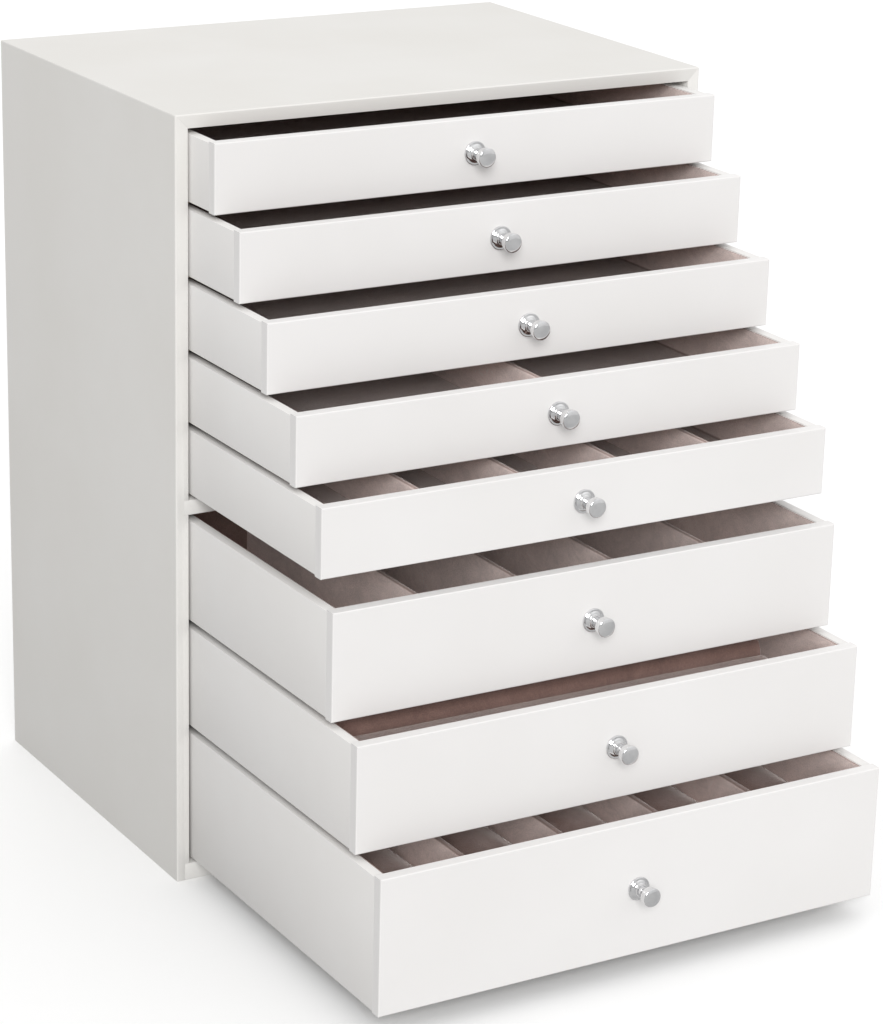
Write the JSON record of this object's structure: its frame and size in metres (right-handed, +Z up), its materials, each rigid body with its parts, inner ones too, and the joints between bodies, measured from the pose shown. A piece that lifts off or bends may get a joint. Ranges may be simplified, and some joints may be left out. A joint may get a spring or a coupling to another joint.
{
  "type": "jewelry cabinet",
  "caption": "White table-top jewelry cabinet with inset drawers of three heights on wooden runners, chrome knobs and velvet-lined trays for rings, watches and flat jewellery.",
  "frame": {"origin": "centre of the case's underside, on the floor", "axes": "+Z up, drawers open towards -Y, +X to the right as seen by someone facing the drawers"},
  "size_m": [0.4, 0.5598, 0.53],
  "materials": {
    "white_lacquer": "satin white lacquer over fibreboard",
    "pale_board": "thin hardboard, white-faced",
    "runner_wood": "planed light hardwood, waxed",
    "velvet": "grey-brown short-pile velvet",
    "bright_chrome": "polished"
  },
  "bodies": {
    "case": {"top_panel": "white_lacquer", "left_side": "white_lacquer", "right_side": "white_lacquer", "bottom_panel": "white_lacquer", "middle_shelf": "white_lacquer", "back_panel": "pale_board", "drawer_runners": "runner_wood"},
    "drawer_1": {"drawer_1_front": "white_lacquer", "drawer_1_bottom": "pale_board", "drawer_1_walls": "white_lacquer", "drawer_1_lining": "velvet", "drawer_1_knob": "bright_chrome"},
    "drawer_2": {"drawer_2_front": "white_lacquer", "drawer_2_bottom": "pale_board", "drawer_2_walls": "white_lacquer", "drawer_2_lining": "velvet", "drawer_2_knob": "bright_chrome"},
    "drawer_3": {"drawer_3_front": "white_lacquer", "drawer_3_bottom": "pale_board", "drawer_3_walls": "white_lacquer", "drawer_3_lining": "velvet", "drawer_3_knob": "bright_chrome"},
    "drawer_4": {"drawer_4_front": "white_lacquer", "drawer_4_bottom": "pale_board", "drawer_4_walls": "white_lacquer", "drawer_4_lining": "velvet", "drawer_4_knob": "bright_chrome", "drawer_4_dividers": "velvet"},
    "drawer_5": {"drawer_5_front": "white_lacquer", "drawer_5_bottom": "pale_board", "drawer_5_walls": "white_lacquer", "drawer_5_lining": "velvet", "drawer_5_knob": "bright_chrome", "drawer_5_dividers": "velvet"},
    "drawer_6": {"drawer_6_front": "white_lacquer", "drawer_6_bottom": "pale_board", "drawer_6_walls": "white_lacquer", "drawer_6_lining": "velvet", "drawer_6_knob": "bright_chrome", "drawer_6_dividers": "velvet"},
    "drawer_7": {"drawer_7_front": "white_lacquer", "drawer_7_bottom": "pale_board", "drawer_7_walls": "white_lacquer", "drawer_7_lining": "velvet", "drawer_7_knob": "bright_chrome", "drawer_7_ring_rolls": "velvet"},
    "drawer_8": {"drawer_8_front": "white_lacquer", "drawer_8_bottom": "pale_board", "drawer_8_walls": "white_lacquer", "drawer_8_lining": "velvet", "drawer_8_knob": "bright_chrome", "drawer_8_dividers": "velvet", "drawer_8_watch_cushions": "velvet"}
  },
  "joints": [
    {"name": "drawer_1_slide", "type": "slide", "parent": "case", "child": "drawer_1", "axis": [0, -1, 0], "range_m": [-0.035, 0.229]},
    {"name": "drawer_2_slide", "type": "slide", "parent": "case", "child": "drawer_2", "axis": [0, -1, 0], "range_m": [-0.07, 0.194]},
    {"name": "drawer_3_slide", "type": "slide", "parent": "case", "child": "drawer_3", "axis": [0, -1, 0], "range_m": [-0.108, 0.156]},
    {"name": "drawer_4_slide", "type": "slide", "parent": "case", "child": "drawer_4", "axis": [0, -1, 0], "range_m": [-0.147, 0.117]},
    {"name": "drawer_5_slide", "type": "slide", "parent": "case", "child": "drawer_5", "axis": [0, -1, 0], "range_m": [-0.181, 0.083]},
    {"name": "drawer_6_slide", "type": "slide", "parent": "case", "child": "drawer_6", "axis": [0, -1, 0], "range_m": [-0.197, 0.067]},
    {"name": "drawer_7_slide", "type": "slide", "parent": "case", "child": "drawer_7", "axis": [0, -1, 0], "range_m": [-0.23, 0.034]},
    {"name": "drawer_8_slide", "type": "slide", "parent": "case", "child": "drawer_8", "axis": [0, -1, 0], "range_m": [-0.262, 0.002]}
  ]
}
